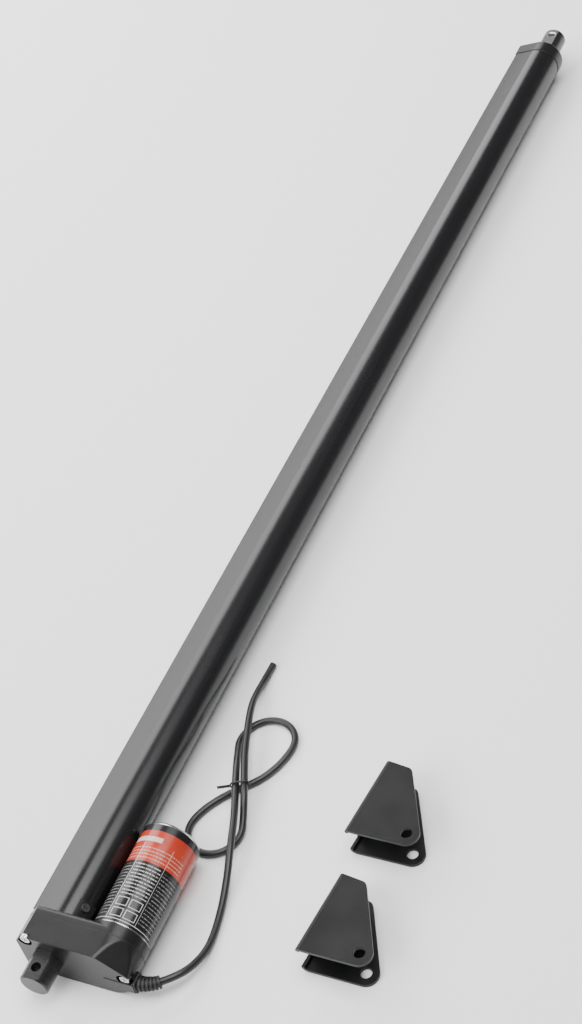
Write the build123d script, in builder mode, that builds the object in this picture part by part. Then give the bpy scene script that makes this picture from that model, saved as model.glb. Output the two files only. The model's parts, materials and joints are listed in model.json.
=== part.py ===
from build123d import *
from math import acos, atan2, cos, pi, radians, sin, sqrt, tan
import os

os.makedirs("parts", exist_ok=True)

# ---------------------------------------------------------------------------
# Frame: the origin is the centre of the rear eye's cross hole. +X runs along
# the actuator to the front eye, +Y is the side away from the motor, +Z is up
# and parallel to both eye holes. Millimetres.
# ---------------------------------------------------------------------------

# Stroke and overall layout
stroke = 900.0
closed_allowance = 105.0      # what the eyes, case, bearing and nut add to the stroke
eye_to_eye = stroke + closed_allowance
fit = 0.02                    # press and location fits, per side
run_fit = 0.08                # sliding and turning fits, radial

# Rear and front eyes
eye_d = 20.0
eye_flats = 17.4
eye_hole_d = 6.5
eye_nose = 8.7                # from the hole's centre to the end of the bar
eye_chamfer = 1.0
front_eye_round = 3.0
front_eye_mouth = 0.7         # countersink at both ends of the front eye's hole

# Gearbox: a rear case, a seal and a front case, split across X
case_x0 = 11.3
case_rear_wall = 3.0
case_split_x = 29.0
case_seal_t = 0.5
case_x1 = 36.3
case_front_wall = 4.0
case_wall = 2.7
case_end_wall = 5.5           # thicker behind the facet
case_half_h = 20.0
case_left = 20.0
case_bevel_y = 6.5
case_bevel_z = 7.5
case_front_round = 4.0
case_end_bevel = 0.5
case_cut_depth = 4.4          # facet over the motor end, measured at the end face
case_cut_run = 17.0
case_cut_angle = 52.0
case_facet_soft = 5.0
centre_distance = 39.0        # from the screw's axis to the motor's axis

# Gear train
gear_pressure_angle = 25.0
gear_addendum = 0.9
gear_dedendum = 1.15
gear_backlash = 0.06          # taken off each side of each tooth
stage1_module = 0.8
stage2_module = 1.0
pinion_teeth = 12
wheel_teeth = 38
idler_pinion_teeth = 12
output_teeth = 26
stage1_x0 = 17.8
stage1_w = 4.0
stage2_x0 = 24.0
stage2_w = 7.0
idler_x1 = 31.4
idler_axle_d = 4.0
idler_y = -(stage2_module * (idler_pinion_teeth + output_teeth) / 2)

# Outer tube, an extrusion with a round side and a switch channel
tube_r = 16.75
tube_bore = 26.0
tube_corner_y = 21.8
tube_corner_z = 11.0
tube_edge_round = 1.5
channel_y = 19.8
channel_half_z = 7.5
channel_y0 = 9.0
tube_x1 = eye_to_eye - 36.0

# Front cap, gasket, bush and wiper
gasket_t = 0.8
cap_x1 = eye_to_eye - 22.0
cap_lip = 0.4
cap_round = 2.2
spigot_x0 = tube_x1 - 1.6
spigot_bore = 21.0
bush_x1 = cap_x1 - 3.8
bush_r = 12.2
wiper_x0 = cap_x1 - 3.5

# Lead screw, nut and rod
screw_d = 10.0
screw_journal_d = 8.0
screw_x0 = 22.6
screw_gear_seat_x1 = 32.0
screw_tip_x0 = eye_to_eye - 46.6
screw_x1 = eye_to_eye - 41.0
tip_bush_x1 = screw_x1 - 1.2
nut_x0 = 47.0
nut_x1 = 67.0
nut_seat_x = 57.0
nose_y = 14.6
nose_half_z = 7.2
rod_d = 20.0
rod_bore = 12.0
rod_x1 = eye_to_eye - 20.5
eye_shank_x0 = eye_to_eye - 39.0
eye_body_x0 = rod_x1 + 0.1
cross_pin_d = 4.0
cross_pin_x = eye_to_eye - 30.0

# Screw bearing
bearing_x0 = 37.3
bearing_w = 8.0
race_wall = 2.5
ball_d = 4.76
ball_count = 9

# Limit switches on their strip
strip_t = 1.6
strip_half_z = 6.4
strip_x0 = 50.0
strip_x1 = tube_x1 - 5.0
switch_size = (12.8, 3.0, 6.4)
switch_x = (nut_seat_x, nut_seat_x + stroke)
wire_d = 1.4

# Motor
motor_r = 19.7
motor_wall = 1.4
motor_x0 = 37.6
motor_x1 = 114.8
motor_end_round = 3.5
motor_shaft_d = 5.0
label_x0 = 38.2
label_x1 = 111.8
label_t = 0.25
end_plate_t = 4.0
magnet_x0 = 53.0
magnet_x1 = 97.0
magnet_t = 5.6
armature_r = 12.0
armature_x0 = 57.0
armature_x1 = 93.0
armature_slots = 5
commutator_r = 5.5
commutator_x0 = 42.5
commutator_x1 = 50.5
brush_size = (5.0, 6.0)         # along the shaft, and square across it

# Case screws, M4 pan heads set in scalloped corners
case_screw_d = 4.0
case_screw_head_d = 6.8
case_screw_head_h = 2.7
case_screw_notch_r = 5.2
case_screw_at = [(12.2, 16.2), (12.2, -16.2), (-centre_distance - 15.5, 0.0)]
case_screw_x1 = 33.5

# Cable outlet and cable
cable_d = 5.0
boot_tip = (21.1, -73.4, -8.0)
boot_bend_r = 22.8
boot_turn = 38.0
boot_r0 = 4.0
boot_r1 = 3.1
rib_count = 6
rib_r0 = 5.0
rib_r1 = 4.2
rib_t = 1.3
boss_r = 5.4
boss_out = 1.2
floor_z = -20.0
lie_z = floor_z + cable_d / 2     # a cable resting on the ground
over_z = lie_z + 2 * cable_d      # a cable passing over another one

# The cable from the boot to its cut end, chosen by hand
cable_route = [
    boot_tip,
    (27.5, -81.6, -8.0),
    (40.0, -86.8, -12.3),
    (58.0, -88.2, lie_z),
    (84.0, -83.8, lie_z),
    (106.0, -78.8, -13.5),
    (124.0, -74.0, over_z),
    (146.0, -67.0, over_z),
    (178.0, -53.0, over_z),
    (195.5, -45.0, -12.5),
    (211.5, -37.8, lie_z),
    (226.7, -44.1, lie_z),
    (233.3, -57.9, lie_z),
    (228.3, -72.3, lie_z),
    (214.7, -79.2, lie_z),
    (187.0, -70.8, lie_z),
    (168.5, -50.8, lie_z),
    (152.0, -38.9, lie_z),
    (137.0, -34.2, lie_z),
    (124.2, -39.6, lie_z),
    (118.2, -53.0, lie_z),
    (123.3, -66.8, lie_z),
    (137.5, -73.3, lie_z),
    (151.5, -69.4, -14.2),
    (163.0, -66.2, over_z),
    (182.0, -57.6, over_z),
    (199.0, -50.4, over_z),
    (231.0, -39.9, over_z),
    (247.5, -36.2, -12.5),
    (264.0, -34.3, lie_z),
    (277.0, -34.6, lie_z),
]

# Twist tie round the two strands that run side by side
tie_at = (170.0, -59.78, over_z)
tie_heading = 23.9
tie_strand_offset = 3.05
tie_wire_d = 1.3
tie_gap = 0.3
tie_tail = 9.0

# Mounting brackets, supplied loose and lying on their sides
bracket_t = 2.5
bracket_gap = 20.6
bracket_base = 58.0
bracket_hole_d = 7.5
bracket_hole_u = 12.5
bracket_hole_v = 39.0
bracket_lug_r = 8.5
bracket_narrow = 19.0
bracket_bend_r = 3.2
bracket_heel = 5.0
bracket_corner_r = 4.5
bracket_relief = 10.0         # the base stops short of the pin end
bracket_lip = 1.6             # what is left of each bend there
bracket_base_hole_d = 6.5
bracket_base_holes_u = (22.0, 46.0)
bracket_places = [(148.0, -147.0, -6.5), (60.0, -150.6, -6.5)]


def save(builder, name):
    builder.part.label = name
    export_step(builder.part, f"parts/{name}.step")


# ---------------------------------------------------------------------------
# Shared profiles, drawn across the actuator (local x is Y, local y is Z)
# ---------------------------------------------------------------------------

def case_outline(inset=0.0):
    """The gearbox outline: a block with bevelled left corners and a round motor end."""
    half = case_half_h - inset
    left = case_left - inset
    shift = inset * (sqrt(case_bevel_y**2 + case_bevel_z**2) - case_bevel_z) / case_bevel_y
    slope = inset * (sqrt(case_bevel_y**2 + case_bevel_z**2) - case_bevel_y) / case_bevel_z
    top_y = case_left - case_bevel_y - shift
    left_z = case_half_h - case_bevel_z - slope
    with BuildSketch() as outline:
        with BuildLine():
            Polyline(
                (-centre_distance, -half), (top_y, -half), (left, -left_z),
                (left, left_z), (top_y, half), (-centre_distance, half),
            )
            ThreePointArc(
                (-centre_distance, half), (-centre_distance - half, 0), (-centre_distance, -half)
            )
        make_face()
    return outline.sketch


def tube_outline(grow=0.0):
    """The extrusion's outline: a circle with a tangent taper to a flat left side."""
    r = tube_r + grow
    cy = tube_corner_y + grow
    cz = tube_corner_z + grow
    reach = sqrt(cy**2 + cz**2)
    touch = atan2(cz, cy) + acos(r / reach)
    ty, tz = r * cos(touch), r * sin(touch)
    with BuildSketch() as outline:
        with BuildLine():
            Polyline((ty, -tz), (cy, -cz), (cy, cz), (ty, tz))
            ThreePointArc((ty, tz), (-r, 0), (ty, -tz))
        make_face()
        corners = outline.vertices().filter_by(lambda v: v.X > cy - 0.01)
        fillet(corners, tube_edge_round)
    return outline.sketch


def on_x(x):
    return Plane.YZ.offset(x)


def gear_tooth(module, teeth):
    """One involute tooth pointing along +x, from inside the root to the tip."""
    pitch_r = module * teeth / 2
    base_r = pitch_r * cos(radians(gear_pressure_angle))
    tip_r = pitch_r + gear_addendum * module
    root_r = pitch_r - gear_dedendum * module

    def roll(radius):
        t = sqrt(max(radius**2 / base_r**2 - 1, 0))
        return t - atan2(t, 1)

    half_tooth = pi / (2 * teeth) + roll(pitch_r) - gear_backlash / pitch_r
    radii = [base_r + (tip_r - base_r) * k / 4 for k in range(5)]
    upper = [(r * cos(half_tooth - roll(r)), r * sin(half_tooth - roll(r))) for r in radii]
    lower = [(x, -y) for x, y in upper]
    inside = 0.9 * min(root_r, base_r)
    foot = (inside * cos(half_tooth), inside * sin(half_tooth))
    with BuildSketch() as tooth:
        with BuildLine():
            Line(foot, upper[0])
            Spline(upper)
            ThreePointArc(upper[-1], (tip_r, 0), lower[-1])
            Spline(list(reversed(lower)))
            Line(lower[0], (foot[0], -foot[1]))
            Line((foot[0], -foot[1]), foot)
        make_face()
    return tooth.sketch


def gear_face(module, teeth, phase):
    """A whole gear outline; phase in degrees puts one tooth's centre there."""
    tooth = gear_tooth(module, teeth)
    root_r = module * teeth / 2 - gear_dedendum * module
    with BuildSketch() as face:
        Circle(root_r)
        with PolarLocations(0, teeth, start_angle=phase):
            add(tooth)
    return face.sketch


# ---------------------------------------------------------------------------
# Gearbox
# ---------------------------------------------------------------------------

def cut_case_screws(x0, x1, diameter):
    """Round holes along X at the three case screws."""
    with BuildSketch(on_x(x0)) as holes:
        with Locations(*case_screw_at):
            Circle(diameter / 2)
    extrude(holes.sketch, amount=x1 - x0, mode=Mode.SUBTRACT)


def cavity_sketch(end_wall=case_wall, boss_extra=1.6):
    """The hollow inside the case; end_wall is the wall round the motor end."""
    with BuildSketch() as cavity:
        add(case_outline(case_wall))
        with Locations((-centre_distance - case_half_h, 0)):
            Rectangle(2 * case_half_h, 2 * case_half_h, mode=Mode.SUBTRACT)
        with Locations((-centre_distance, 0)):
            Circle(case_half_h - end_wall)
        with Locations(*case_screw_at):
            Circle(case_screw_d / 2 + boss_extra, mode=Mode.SUBTRACT)
    return cavity.sketch


boot_root_x = boot_tip[0] - boot_bend_r * (1 - cos(radians(boot_turn)))
boot_root_y = boot_tip[1] + boot_bend_r * sin(radians(boot_turn))
boot_z = boot_tip[2]

with BuildPart() as rear_case:
    with BuildSketch(on_x(case_x0)):
        add(case_outline())
    extrude(amount=case_split_x - case_x0)
    chamfer(rear_case.faces().sort_by(Axis.X)[0].edges(), case_end_bevel)
    # facet that slopes down to the end face over the motor end
    n_y, n_z = -cos(radians(case_cut_angle)), sin(radians(case_cut_angle))
    reach = case_half_h - case_cut_depth
    facet_x = (case_cut_depth / sqrt(case_cut_depth**2 + case_cut_run**2))
    facet_r = (case_cut_run / sqrt(case_cut_depth**2 + case_cut_run**2))
    facet_origin = (case_x0, -centre_distance + reach * n_y, reach * n_z)
    facet_normal = (-facet_x, facet_r * n_y, facet_r * n_z)
    with BuildSketch(Plane(origin=facet_origin, z_dir=facet_normal)):
        Rectangle(80, 80)
    extrude(amount=20, mode=Mode.SUBTRACT)
    facet = rear_case.faces().filter_by(
        lambda f: f.normal_at().dot(Vector(*facet_normal).normalized()) > 0.999
    )[0]
    crease = facet.edges().filter_by(lambda e: e.center().X > case_x0 + 1)
    fillet(crease, case_facet_soft)
    # boss that carries the cable boot
    with BuildSketch(Plane(origin=(boot_root_x, -centre_distance, boot_z), z_dir=(0, -1, 0))):
        RectangleRounded(2 * boss_r, 2 * boss_r, 1.5)
    extrude(amount=-boot_root_y - centre_distance)
    with BuildSketch(on_x(case_x0 + case_rear_wall)):
        add(cavity_sketch(case_end_wall))
    extrude(amount=case_split_x - case_x0, mode=Mode.SUBTRACT)
    with BuildSketch(Plane(origin=(boot_root_x, -centre_distance, boot_z), z_dir=(0, -1, 0))):
        Circle(boot_r1 - 0.2)
    extrude(amount=40, mode=Mode.SUBTRACT)
    with BuildSketch(on_x(case_x0 - 1)):
        Circle(eye_d / 2 + fit)
    extrude(amount=case_rear_wall + 2, mode=Mode.SUBTRACT)
    with BuildSketch(on_x(case_x0 + case_rear_wall)):
        with Locations((idler_y, 0)):
            Circle(idler_axle_d / 2 + fit)
    extrude(amount=-2.0, mode=Mode.SUBTRACT)
    with BuildSketch(on_x(case_x0)):
        with Locations(*case_screw_at):
            Circle(case_screw_notch_r)
    extrude(amount=case_screw_head_h + 0.3, mode=Mode.SUBTRACT)
    cut_case_screws(case_x0, case_split_x, case_screw_d + 0.3)
    # screw holes for the eye's flange
    with BuildSketch(on_x(case_x0 + case_rear_wall)):
        with Locations((0, 11.7), (0, -11.7)):
            Circle(1.25 + fit)
    extrude(amount=-2.2, mode=Mode.SUBTRACT)
save(rear_case, "gearbox_rear_case")

with BuildPart() as case_seal:
    with BuildSketch(on_x(case_split_x)):
        add(case_outline(0.15))
        add(cavity_sketch(), mode=Mode.SUBTRACT)
    extrude(amount=case_seal_t)
    cut_case_screws(case_split_x, case_split_x + case_seal_t, case_screw_d + 0.3)
save(case_seal, "gearbox_seal")

tube_seat_x = case_x1
lug_t = 1.7
lug_x1 = tube_seat_x + 13.0
lug_screw_x = tube_seat_x + 8.2
lug_screw_angles = (135.5, -135.5)


def lug_face(side):
    """A curved tongue hugging the tube's motor side, above or below the middle."""
    inner = tube_r + 0.12
    start, end = 119.0, 158.0
    with BuildSketch() as lug:
        with BuildLine():
            CenterArc((0, 0), inner + lug_t, side * start, side * (end - start))
            CenterArc((0, 0), inner, side * start, side * (end - start))
            for a in (start, end):
                c, s = cos(radians(a)), side * sin(radians(a))
                Line((inner * c, inner * s), ((inner + lug_t) * c, (inner + lug_t) * s))
        make_face()
    return lug.sketch


with BuildPart() as front_case:
    with BuildSketch(on_x(case_split_x + case_seal_t)):
        add(case_outline())
        with Locations((-centre_distance - 25, 0)):
            Rectangle(50, 60, mode=Mode.SUBTRACT)
    extrude(amount=case_x1 - case_split_x - case_seal_t)
    front_face = front_case.faces().sort_by(Axis.X)[-1]
    rim = front_face.edges().filter_by(
        lambda e: e.center().Y > -centre_distance + 0.5
    )
    fillet(rim, case_front_round)
    # round shoulder that the motor's can stands on
    with BuildSketch(on_x(case_split_x + case_seal_t)):
        with Locations((-centre_distance, 0)):
            Circle(case_half_h)
    extrude(amount=motor_x0 - 0.1 - case_split_x - case_seal_t)
    with BuildSketch(on_x(tube_seat_x)):
        Circle(tube_bore / 2 - fit)
    extrude(amount=bearing_x0 - tube_seat_x - 0.05)
    with BuildSketch(on_x(tube_seat_x - 0.5)):
        add(lug_face(1))
        add(lug_face(-1))
    extrude(amount=lug_x1 - tube_seat_x + 0.5)
    with BuildSketch(on_x(case_split_x + case_seal_t)):
        add(cavity_sketch())
    extrude(amount=case_x1 - case_front_wall - case_split_x - case_seal_t, mode=Mode.SUBTRACT)
    with BuildSketch(on_x(case_split_x)):
        Circle(screw_d / 2 + 0.6)
    extrude(amount=20, mode=Mode.SUBTRACT)
    with BuildSketch(on_x(case_split_x)):
        with Locations((-centre_distance, 0)):
            Circle(motor_shaft_d / 2 + 0.7)
        with Locations((-centre_distance, 12.5), (-centre_distance, -12.5)):
            Circle(1.65)
    extrude(amount=20, mode=Mode.SUBTRACT)
    with BuildSketch(on_x(case_x1 - case_front_wall)):
        with Locations((idler_y, 0)):
            Circle(idler_axle_d / 2 + fit)
    extrude(amount=2.0, mode=Mode.SUBTRACT)
    # the switch leads come through from the tube's channel
    with BuildSketch(on_x(case_split_x)):
        with Locations((channel_y - 3.2, 5.6), (channel_y - 3.2, -5.6)):
            Circle(wire_d / 2 + 0.15)
    extrude(amount=20, mode=Mode.SUBTRACT)
    cut_case_screws(case_split_x, case_screw_x1 + 0.4, case_screw_d + 2 * fit)
    for angle in lug_screw_angles:
        c, s = cos(radians(angle)), sin(radians(angle))
        with BuildSketch(Plane(origin=(lug_screw_x, 0, 0), z_dir=(0, c, s))):
            Circle(1.6)
        extrude(amount=30, mode=Mode.SUBTRACT)
save(front_case, "gearbox_front_case")

with BuildPart() as case_screws:
    for y, z in case_screw_at:
        head_x0 = case_x0 + 0.3
        with BuildSketch(on_x(head_x0)):
            with Locations((y, z)):
                Circle(case_screw_head_d / 2)
        extrude(amount=case_screw_head_h)
        with BuildSketch(on_x(head_x0 + case_screw_head_h)):
            with Locations((y, z)):
                Circle(case_screw_d / 2)
        extrude(amount=case_screw_x1 - head_x0 - case_screw_head_h)
        with BuildSketch(on_x(head_x0)):
            with Locations((y, z)):
                Rectangle(0.9, 4.2)
                Rectangle(4.2, 0.9)
        extrude(amount=1.3, mode=Mode.SUBTRACT)
save(case_screws, "case_screws")

flange_x0 = case_x0 + case_rear_wall + 0.05
flange_t = 2.7
flange_r = 14.5
with BuildPart() as rear_eye:
    with BuildSketch(on_x(-eye_nose)):
        Circle(eye_d / 2)
    extrude(amount=flange_x0 + eye_nose)
    chamfer(rear_eye.faces().sort_by(Axis.X)[0].edges(), eye_chamfer)
    with BuildSketch(on_x(-eye_nose - 1)):
        with Locations((0, eye_flats), (0, -eye_flats)):
            Rectangle(2 * eye_d, eye_flats)
    extrude(amount=case_x0 + eye_nose + 1, mode=Mode.SUBTRACT)
    with BuildSketch(on_x(flange_x0)):
        Circle(flange_r)
    extrude(amount=flange_t)
    with BuildSketch(Plane.XY.offset(-eye_d)):
        Circle(eye_hole_d / 2)
    extrude(amount=2 * eye_d, mode=Mode.SUBTRACT)
    with BuildSketch(on_x(flange_x0 - 1)):
        with Locations((0, 11.7), (0, -11.7)):
            Circle(1.4)
    extrude(amount=flange_t + 2, mode=Mode.SUBTRACT)
save(rear_eye, "rear_eye")

with BuildPart() as eye_flange_screws:
    for z in (11.7, -11.7):
        with BuildSketch(on_x(flange_x0 + flange_t + 0.05)):
            with Locations((0, z)):
                Circle(2.3)
        extrude(amount=1.3)
        with BuildSketch(on_x(flange_x0 + flange_t + 0.05)):
            with Locations((0, z)):
                Circle(1.25)
        extrude(amount=-flange_t - 2.0)
save(eye_flange_screws, "eye_flange_screws")

# ---------------------------------------------------------------------------
# Gear train
# ---------------------------------------------------------------------------

with BuildPart() as motor_pinion:
    with BuildSketch(on_x(stage1_x0 - 0.5)):
        with Locations((-centre_distance, 0)):
            add(gear_face(stage1_module, pinion_teeth, 0.0))
            Circle(motor_shaft_d / 2 + fit, mode=Mode.SUBTRACT)
    extrude(amount=stage1_w + 1.0)
save(motor_pinion, "motor_pinion")

with BuildPart() as idler_gear:
    with BuildSketch(on_x(stage1_x0)):
        with Locations((idler_y, 0)):
            add(gear_face(stage1_module, wheel_teeth, 180.0 + 180.0 / wheel_teeth))
    extrude(amount=stage1_w)
    with BuildSketch(on_x(stage1_x0 + stage1_w - 0.5)):
        with Locations((idler_y, 0)):
            add(gear_face(stage2_module, idler_pinion_teeth, 0.0))
    extrude(amount=idler_x1 - stage1_x0 - stage1_w + 0.5)
    with BuildSketch(on_x(stage1_x0 - 1)):
        with Locations((idler_y, 0)):
            Circle(idler_axle_d / 2 + 0.06)
    extrude(amount=20, mode=Mode.SUBTRACT)
save(idler_gear, "idler_gear")

with BuildPart() as idler_axle:
    with BuildSketch(on_x(case_x0 + case_rear_wall - 1.9)):
        with Locations((idler_y, 0)):
            Circle(idler_axle_d / 2)
    extrude(amount=case_x1 - case_front_wall + 1.9 - case_x0 - case_rear_wall + 1.9)
    chamfer(idler_axle.edges(), 0.3)
save(idler_axle, "idler_axle")

with BuildPart() as idler_spacer:
    with BuildSketch(on_x(case_x0 + case_rear_wall + 0.05)):
        with Locations((idler_y, 0)):
            Circle(idler_axle_d / 2 + 1.5)
            Circle(idler_axle_d / 2 + fit, mode=Mode.SUBTRACT)
    extrude(amount=stage1_x0 - 0.3 - case_x0 - case_rear_wall - 0.05)
save(idler_spacer, "idler_spacer")

key_w = 2.4
key_z0 = 2.6
key_z1 = 5.4
key_x0 = stage2_x0 + 0.3
key_x1 = stage2_x0 + stage2_w - 0.3
with BuildPart() as output_gear:
    with BuildSketch(on_x(stage2_x0)):
        add(gear_face(stage2_module, output_teeth, 180.0 + 180.0 / output_teeth))
        Circle(screw_journal_d / 2 + fit, mode=Mode.SUBTRACT)
        with Locations((0, key_z1 / 2 + fit)):
            Rectangle(key_w + 2 * fit, key_z1 + 2 * fit, mode=Mode.SUBTRACT)
    extrude(amount=stage2_w)
    # lightening holes through the web
    with BuildSketch(on_x(stage2_x0)):
        with PolarLocations(8.6, 5, start_angle=18.0):
            Circle(1.5)
    extrude(amount=stage2_w, mode=Mode.SUBTRACT)
save(output_gear, "output_gear")

with BuildPart() as gear_key:
    with BuildSketch(on_x(key_x0)):
        with Locations((0, (key_z0 + key_z1) / 2)):
            Rectangle(key_w, key_z1 - key_z0)
    extrude(amount=key_x1 - key_x0)
save(gear_key, "gear_key")

# ---------------------------------------------------------------------------
# Lead screw and its bearing
# ---------------------------------------------------------------------------

clip_t = 0.9
gear_clip_x = 22.95
thrust_clip_x = bearing_x0 + bearing_w + 0.05
with BuildPart() as lead_screw:
    with BuildSketch(on_x(screw_x0)):
        Circle(screw_journal_d / 2)
    extrude(amount=screw_x1 - screw_x0)
    with BuildSketch(on_x(screw_gear_seat_x1)):
        Circle(screw_d / 2)
    extrude(amount=screw_tip_x0 - screw_gear_seat_x1)
    chamfer(lead_screw.edges().sort_by(Axis.X)[0], 0.4)
    chamfer(lead_screw.edges().sort_by(Axis.X)[-1], 0.4)
    with BuildSketch(on_x(gear_clip_x - 0.05)):
        Circle(screw_d)
        Circle(screw_journal_d / 2 - 0.5, mode=Mode.SUBTRACT)
    extrude(amount=clip_t + 0.1, mode=Mode.SUBTRACT)
    with BuildSketch(on_x(thrust_clip_x - 0.05)):
        Circle(screw_d)
        Circle(screw_d / 2 - 0.5, mode=Mode.SUBTRACT)
    extrude(amount=clip_t + 0.1, mode=Mode.SUBTRACT)
    with BuildSketch(on_x(key_x0 - fit)):
        with Locations((0, key_z0 - fit + 2.0)):
            Rectangle(key_w + 2 * fit, 4.0)
    extrude(amount=key_x1 - key_x0 + 2 * fit, mode=Mode.SUBTRACT)
save(lead_screw, "lead_screw")


def clip_ring(x, groove_r, outer_r, gap_angle):
    """An external retaining clip with its gap turned to gap_angle."""
    with BuildSketch(on_x(x)) as ring:
        Circle(outer_r)
        Circle(groove_r + fit, mode=Mode.SUBTRACT)
        with PolarLocations(outer_r, 1, start_angle=gap_angle):
            Rectangle(2 * (outer_r - groove_r) + 1, 2.2, mode=Mode.SUBTRACT)
    extrude(ring.sketch, amount=clip_t)


with BuildPart() as gear_clip:
    clip_ring(gear_clip_x, screw_journal_d / 2 - 0.5, screw_journal_d / 2 + 1.4, 270.0)
save(gear_clip, "gear_clip")

with BuildPart() as thrust_clip:
    clip_ring(thrust_clip_x, screw_d / 2 - 0.5, screw_d / 2 + 1.6, 200.0)
save(thrust_clip, "thrust_clip")

ball_pitch_r = (screw_d / 2 + tube_bore / 2) / 2
race_groove_r = ball_d / 2 + 0.05


def race(r0, r1):
    """A bearing ring between two radii, with the ball track cut from it."""
    with BuildSketch(on_x(bearing_x0)) as section:
        Circle(r1)
        Circle(r0, mode=Mode.SUBTRACT)
    ring = extrude(section.sketch, amount=bearing_w)
    chamfer(ring.edges().filter_by(GeomType.CIRCLE), 0.25)
    with BuildSketch(Plane.XY) as track:
        with Locations((bearing_x0 + bearing_w / 2, ball_pitch_r)):
            Circle(race_groove_r)
    revolve(track.sketch, axis=Axis.X, mode=Mode.SUBTRACT)


with BuildPart() as inner_race:
    race(screw_d / 2 + fit, screw_d / 2 + race_wall)
save(inner_race, "bearing_inner_race")

with BuildPart() as outer_race:
    race(tube_bore / 2 - race_wall, tube_bore / 2 - fit)
save(outer_race, "bearing_outer_race")

with BuildPart() as bearing_balls:
    for k in range(ball_count):
        a = 2 * pi * k / ball_count
        with Locations((bearing_x0 + bearing_w / 2, ball_pitch_r * cos(a), ball_pitch_r * sin(a))):
            Sphere(ball_d / 2)
save(bearing_balls, "bearing_balls")

with BuildPart() as tip_bush:
    with BuildSketch(on_x(screw_tip_x0 + 0.1)):
        Circle(rod_bore / 2 - run_fit)
        Circle(screw_journal_d / 2 + fit, mode=Mode.SUBTRACT)
    extrude(amount=tip_bush_x1 - screw_tip_x0 - 0.1)
save(tip_bush, "screw_tip_bush")

# ---------------------------------------------------------------------------
# Nut, rod and front eye: everything that slides
# ---------------------------------------------------------------------------

with BuildPart() as drive_nut:
    with BuildSketch(on_x(nut_x0)):
        Circle(tube_bore / 2 - run_fit)
    extrude(amount=nut_x1 - nut_x0)
    with BuildSketch(on_x(nut_x0 + 1.5)):
        with Locations((nose_y / 2, 0)):
            Rectangle(nose_y, 2 * nose_half_z)
    extrude(amount=nut_x1 - nut_x0 - 3.0)
    with BuildSketch(on_x(nut_x0 - 1)):
        Circle(screw_d / 2 + run_fit)
    extrude(amount=nut_x1 - nut_x0, mode=Mode.SUBTRACT)
    with BuildSketch(on_x(nut_seat_x)):
        Circle(rod_d / 2 + fit)
    extrude(amount=nut_x1 - nut_seat_x + 1, mode=Mode.SUBTRACT)
save(drive_nut, "drive_nut")

with BuildPart() as extension_rod:
    with BuildSketch(on_x(nut_seat_x + 0.05)):
        Circle(rod_d / 2)
        Circle(rod_bore / 2, mode=Mode.SUBTRACT)
    extrude(amount=rod_x1 - nut_seat_x - 0.05)
    with BuildSketch(Plane(origin=(cross_pin_x, 0, 0), z_dir=(0, 1, 0))):
        Circle(cross_pin_d / 2 + fit)
    extrude(amount=rod_d, both=True, mode=Mode.SUBTRACT)
save(extension_rod, "extension_rod")

with BuildPart() as front_eye:
    with BuildSketch(on_x(eye_shank_x0)):
        Circle(rod_bore / 2 - fit)
    extrude(amount=eye_body_x0 - eye_shank_x0)
    with BuildSketch(on_x(eye_body_x0)):
        Circle(eye_d / 2)
    extrude(amount=eye_to_eye + eye_nose - eye_body_x0)
    fillet(front_eye.faces().sort_by(Axis.X)[-1].edges(), front_eye_round)
    with BuildSketch(on_x(eye_body_x0 + 1.5)):
        with Locations((0, eye_flats), (0, -eye_flats)):
            Rectangle(2 * eye_d, eye_flats)
    extrude(amount=60, mode=Mode.SUBTRACT)
    with BuildSketch(Plane.XY.offset(-eye_d)):
        with Locations((eye_to_eye, 0)):
            Circle(eye_hole_d / 2)
    extrude(amount=2 * eye_d, mode=Mode.SUBTRACT)
    hole_r = eye_hole_d / 2
    mouth_z = (eye_flats - front_eye_mouth) / 2
    with Locations((eye_to_eye, 0, mouth_z)):
        Cone(hole_r, hole_r + front_eye_mouth, front_eye_mouth, mode=Mode.SUBTRACT)
    with Locations((eye_to_eye, 0, -mouth_z)):
        Cone(hole_r + front_eye_mouth, hole_r, front_eye_mouth, mode=Mode.SUBTRACT)
    with BuildSketch(Plane(origin=(cross_pin_x, 0, 0), z_dir=(0, 1, 0))):
        Circle(cross_pin_d / 2 + fit)
    extrude(amount=rod_d, both=True, mode=Mode.SUBTRACT)
save(front_eye, "front_eye")

with BuildPart() as cross_pin:
    with BuildSketch(Plane(origin=(cross_pin_x, 0, 0), z_dir=(0, 1, 0))):
        Circle(cross_pin_d / 2)
    extrude(amount=rod_d / 2 - 0.5, both=True)
    chamfer(cross_pin.edges().filter_by(GeomType.CIRCLE), 0.3)
save(cross_pin, "rod_cross_pin")

# ---------------------------------------------------------------------------
# Outer tube and front end
# ---------------------------------------------------------------------------

cap_screw_at = [(16.4, 9.7), (16.4, -9.7), (-10.6, 10.6), (-10.6, -10.6)]
cap_screw_d = 2.5
cap_screw_head_r = 1.7
cap_screw_depth = 10.0

with BuildPart() as outer_tube:
    with BuildSketch(on_x(tube_seat_x + 0.02)):
        add(tube_outline())
        Circle(tube_bore / 2, mode=Mode.SUBTRACT)
        with Locations(((channel_y0 + channel_y) / 2, 0)):
            Rectangle(channel_y - channel_y0, 2 * channel_half_z, mode=Mode.SUBTRACT)
    extrude(amount=tube_x1 - tube_seat_x - 0.02)
    with BuildSketch(on_x(tube_x1)):
        with Locations(*cap_screw_at):
            Circle(cap_screw_d / 2 + fit)
    extrude(amount=-cap_screw_depth - 1, mode=Mode.SUBTRACT)
    for angle in lug_screw_angles:
        c, s = cos(radians(angle)), sin(radians(angle))
        with BuildSketch(Plane(origin=(lug_screw_x, 0, 0), z_dir=(0, c, s))):
            Circle(1.25 + fit)
        extrude(amount=30, mode=Mode.SUBTRACT)
save(outer_tube, "outer_tube")

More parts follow.
